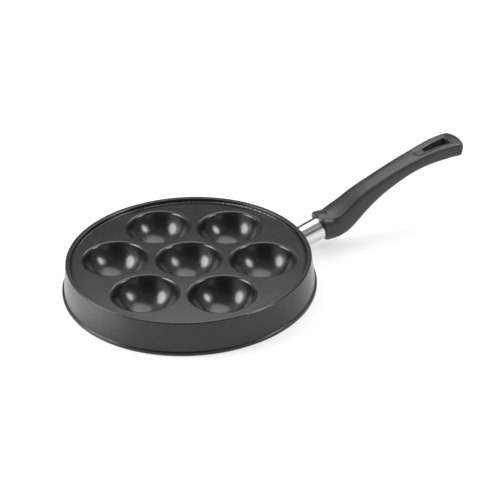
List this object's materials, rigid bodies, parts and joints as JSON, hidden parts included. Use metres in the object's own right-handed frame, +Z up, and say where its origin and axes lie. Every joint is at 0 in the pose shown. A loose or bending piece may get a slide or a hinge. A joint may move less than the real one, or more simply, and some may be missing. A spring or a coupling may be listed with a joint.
{
  "type": "aebleskiver pan",
  "caption": "Round stovetop pan with bowl-shaped wells for round dumplings, a raised rim, a flared skirt and a fixed curved grip with a hanging slot.",
  "frame": {"origin": "on the ground, under the middle of the round pan, which is also the centre of its foot ring", "axes": "+X runs from the pan's middle towards the handle's end, +Y across the pan, +Z up"},
  "size_m": [0.3655, 0.209, 0.0718],
  "materials": {
    "pan_coating": "black non-stick coating on aluminium, satin",
    "grip_plastic": "black moulded heat-proof plastic, satin",
    "ferrule_metal": "polished steel",
    "inner_steel": "zinc-plated steel",
    "rivet_metal": "plain aluminium",
    "screw_steel": "zinc-plated steel"
  },
  "bodies": {
    "root": {"pan_body": "pan_coating", "handle_bracket": "inner_steel", "bracket_rivets": "rivet_metal", "weld_nut": "inner_steel", "ferrule": "ferrule_metal", "grip": "grip_plastic", "handle_screw": "screw_steel", "screw_washer": "screw_steel", "lock_washer": "screw_steel"}
  },
  "joints": []
}
